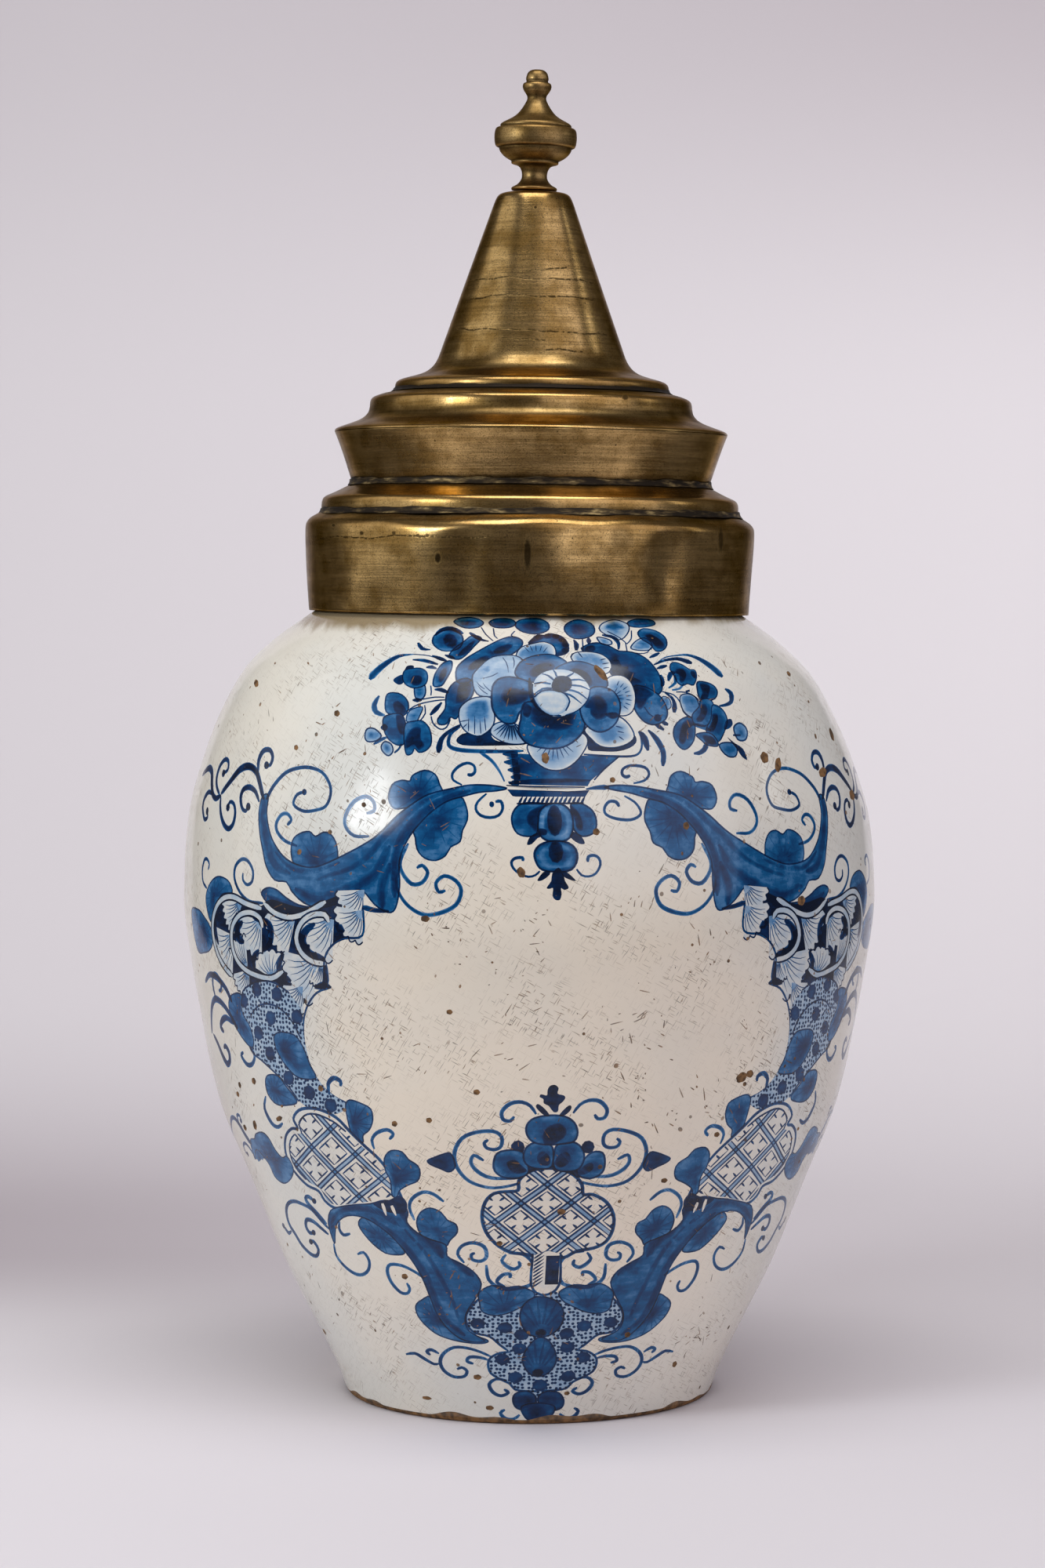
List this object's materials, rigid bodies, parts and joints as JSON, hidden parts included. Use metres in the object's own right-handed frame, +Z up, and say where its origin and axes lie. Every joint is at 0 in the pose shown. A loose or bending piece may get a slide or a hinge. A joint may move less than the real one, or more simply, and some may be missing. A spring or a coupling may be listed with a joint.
{
  "type": "tobacco jar",
  "caption": "Ovoid tin-glazed earthenware storage jar with a short neck, and a stepped conical sheet-brass cover with a turned finial that lifts off upwards.",
  "frame": {"origin": "centre of the foot ring, on the surface that the jar stands on", "axes": "+Z up along the jar's axis; the painted front faces -Y; +X to the right as seen from the front"},
  "size_m": [0.2602, 0.2602, 0.4976],
  "materials": {
    "tin_glazed_earthenware": "gloss",
    "aged_sheet_brass": "satin",
    "soft_solder": "matte",
    "cast_brass": "satin"
  },
  "bodies": {
    "jar": {"jar_body": "tin_glazed_earthenware"},
    "cover": {"cover_skirt_band": "aged_sheet_brass", "cover_lower_step": "aged_sheet_brass", "cover_waisted_collar": "aged_sheet_brass", "cover_stepped_shoulder": "aged_sheet_brass", "cover_spire": "aged_sheet_brass", "solder_skirt_joint": "soft_solder", "solder_collar_joint": "soft_solder", "solder_spire_joint": "soft_solder", "finial": "cast_brass", "finial_washer": "cast_brass", "finial_nut": "cast_brass"}
  },
  "joints": [
    {"name": "cover_lift", "type": "slide", "parent": "jar", "child": "cover", "axis": [0, 0, 1], "range_m": [0, 0.15]}
  ]
}
